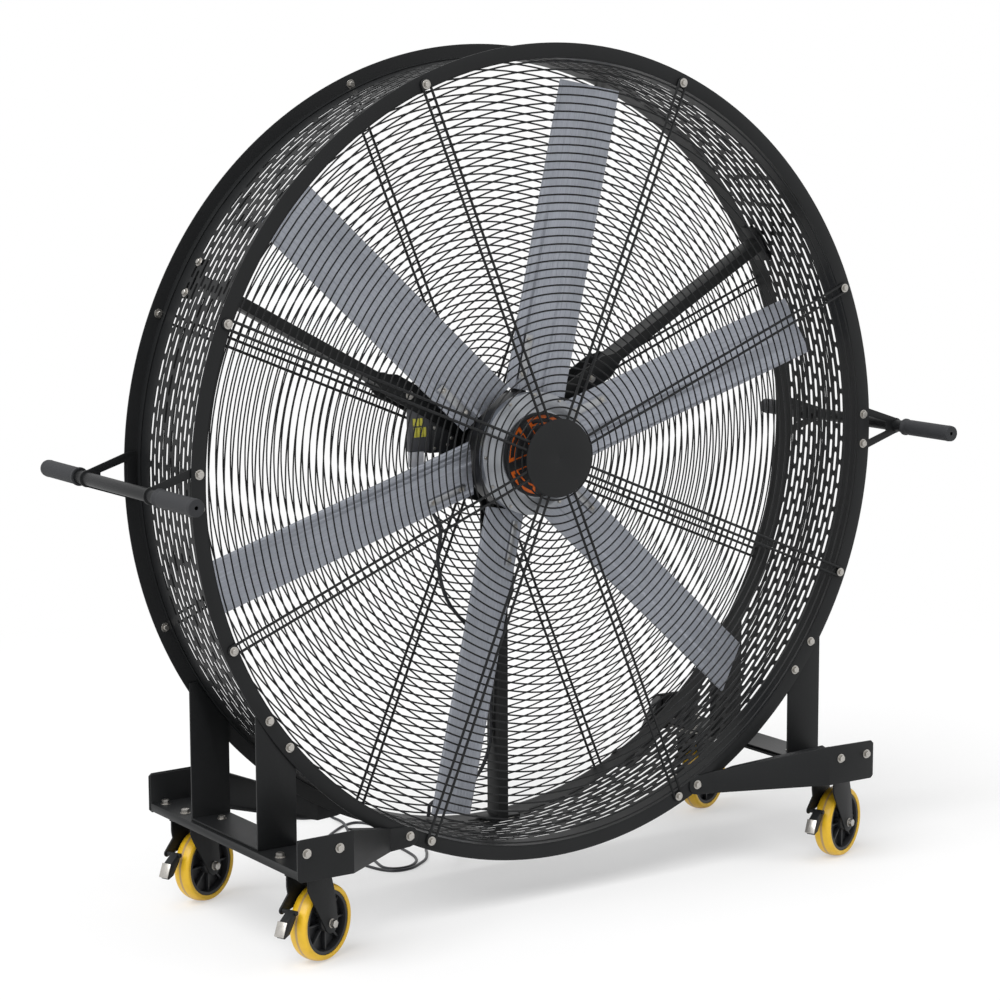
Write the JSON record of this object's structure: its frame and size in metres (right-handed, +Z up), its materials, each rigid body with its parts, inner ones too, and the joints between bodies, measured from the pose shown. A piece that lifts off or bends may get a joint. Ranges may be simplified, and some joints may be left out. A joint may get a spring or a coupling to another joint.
{
  "type": "drum fan",
  "caption": "Large drum fan: slotted round housing with wire guards, flat blades on a direct-drive hub, side push handles, and a floor frame on braked swivel casters.",
  "frame": {"origin": "on the floor, straight below the middle of the drum", "axes": "+X to the right seen from the front, +Y along the drum's axis towards the rear guard, +Z up"},
  "size_m": [2.4256, 1.4854, 2.285],
  "materials": {
    "black_coat": "fine-textured powder coat",
    "blade_aluminium": "satin, drawn lengthwise",
    "polished_aluminium": "turned and polished",
    "motor_casting": "black painted casting",
    "zinc_steel": "zinc plated",
    "yellow_tread": "smooth polyurethane",
    "orange_face": "matt",
    "black_plastic": "matt moulded",
    "black_rubber": "matt"
  },
  "bodies": {
    "frame": {"drum_shell": "black_coat", "front_flange": "black_coat", "rear_flange": "black_coat", "front_guard": "black_coat", "rear_guard": "black_coat", "motor_body": "motor_casting", "motor_bracket": "black_coat", "motor_strut_upper_right": "black_coat", "motor_strut_lower": "black_coat", "motor_strut_upper_left": "black_coat", "drive_box": "black_plastic", "motor_cable": "black_rubber", "handle_left": "black_coat", "handle_right": "black_coat", "grip_front_left": "black_rubber", "grip_rear_left": "black_rubber", "grip_front_right": "black_rubber", "grip_rear_right": "black_rubber", "cord_gland": "black_plastic", "stand_left": "black_coat", "stand_right": "black_coat", "base_plate_left": "black_coat", "base_plate_right": "black_coat", "arm_front_left": "black_coat", "arm_rear_left": "black_coat", "arm_front_right": "black_coat", "arm_rear_right": "black_coat", "caster_front_left_plate": "zinc_steel", "caster_front_right_plate": "zinc_steel", "caster_rear_left_plate": "zinc_steel", "caster_rear_right_plate": "zinc_steel", "cord_run": "black_rubber", "cord_coil": "black_rubber", "plug": "black_rubber"},
    "rotor": {"rotor_drum": "motor_casting", "rotor_hub": "polished_aluminium", "rotor_cap": "black_plastic", "rotor_face": "orange_face", "blade_1": "blade_aluminium", "blade_2": "blade_aluminium", "blade_3": "blade_aluminium", "blade_4": "blade_aluminium", "blade_5": "blade_aluminium", "blade_6": "blade_aluminium"},
    "swivel_front_left": {"caster_front_left_fork": "black_coat"},
    "swivel_front_right": {"caster_front_right_fork": "black_coat"},
    "swivel_rear_left": {"caster_rear_left_fork": "black_coat"},
    "swivel_rear_right": {"caster_rear_right_fork": "black_coat"},
    "wheel_front_left": {"caster_front_left_rim": "black_plastic", "caster_front_left_tyre": "yellow_tread"},
    "wheel_front_right": {"caster_front_right_rim": "black_plastic", "caster_front_right_tyre": "yellow_tread"},
    "wheel_rear_left": {"caster_rear_left_rim": "black_plastic", "caster_rear_left_tyre": "yellow_tread"},
    "wheel_rear_right": {"caster_rear_right_rim": "black_plastic", "caster_rear_right_tyre": "yellow_tread"},
    "brake_front_left": {"caster_front_left_pedal": "zinc_steel"},
    "brake_front_right": {"caster_front_right_pedal": "zinc_steel"},
    "brake_rear_left": {"caster_rear_left_pedal": "zinc_steel"},
    "brake_rear_right": {"caster_rear_right_pedal": "zinc_steel"}
  },
  "joints": [
    {"name": "rotor_spin", "type": "hinge", "parent": "frame", "child": "rotor", "pos_m": [0, -0.008, 1.2], "axis": [0, 1, 0], "continuous": true},
    {"name": "swivel_turn_front_left", "type": "hinge", "parent": "frame", "child": "swivel_front_left", "pos_m": [-0.84858, -0.313, 0.25], "axis": [0, 0, 1], "continuous": true},
    {"name": "swivel_turn_front_right", "type": "hinge", "parent": "frame", "child": "swivel_front_right", "pos_m": [0.84858, -0.313, 0.25], "axis": [0, 0, 1], "continuous": true},
    {"name": "swivel_turn_rear_left", "type": "hinge", "parent": "frame", "child": "swivel_rear_left", "pos_m": [-0.84858, 0.313, 0.25], "axis": [0, 0, 1], "continuous": true},
    {"name": "swivel_turn_rear_right", "type": "hinge", "parent": "frame", "child": "swivel_rear_right", "pos_m": [0.84858, 0.313, 0.25], "axis": [0, 0, 1], "continuous": true},
    {"name": "wheel_spin_front_left", "type": "hinge", "parent": "swivel_front_left", "child": "wheel_front_left", "pos_m": [-0.80222, -0.29427, 0.1], "axis": [-0.3746, 0.9272, 0], "continuous": true},
    {"name": "wheel_spin_front_right", "type": "hinge", "parent": "swivel_front_right", "child": "wheel_front_right", "pos_m": [0.89494, -0.29427, 0.1], "axis": [-0.3746, 0.9272, 0], "continuous": true},
    {"name": "wheel_spin_rear_left", "type": "hinge", "parent": "swivel_rear_left", "child": "wheel_rear_left", "pos_m": [-0.80222, 0.33173, 0.1], "axis": [-0.3746, 0.9272, 0], "continuous": true},
    {"name": "wheel_spin_rear_right", "type": "hinge", "parent": "swivel_rear_right", "child": "wheel_rear_right", "pos_m": [0.89494, 0.33173, 0.1], "axis": [-0.3746, 0.9272, 0], "continuous": true},
    {"name": "brake_tip_front_left", "type": "hinge", "parent": "swivel_front_left", "child": "brake_front_left", "pos_m": [-0.90606, -0.33623, 0.15], "axis": [0.3746, -0.9272, 0], "range_deg": [0, 15]},
    {"name": "brake_tip_front_right", "type": "hinge", "parent": "swivel_front_right", "child": "brake_front_right", "pos_m": [0.79109, -0.33623, 0.15], "axis": [0.3746, -0.9272, 0], "range_deg": [0, 15]},
    {"name": "brake_tip_rear_left", "type": "hinge", "parent": "swivel_rear_left", "child": "brake_rear_left", "pos_m": [-0.90606, 0.28977, 0.15], "axis": [0.3746, -0.9272, 0], "range_deg": [0, 15]},
    {"name": "brake_tip_rear_right", "type": "hinge", "parent": "swivel_rear_right", "child": "brake_rear_right", "pos_m": [0.79109, 0.28977, 0.15], "axis": [0.3746, -0.9272, 0], "range_deg": [0, 15]}
  ]
}
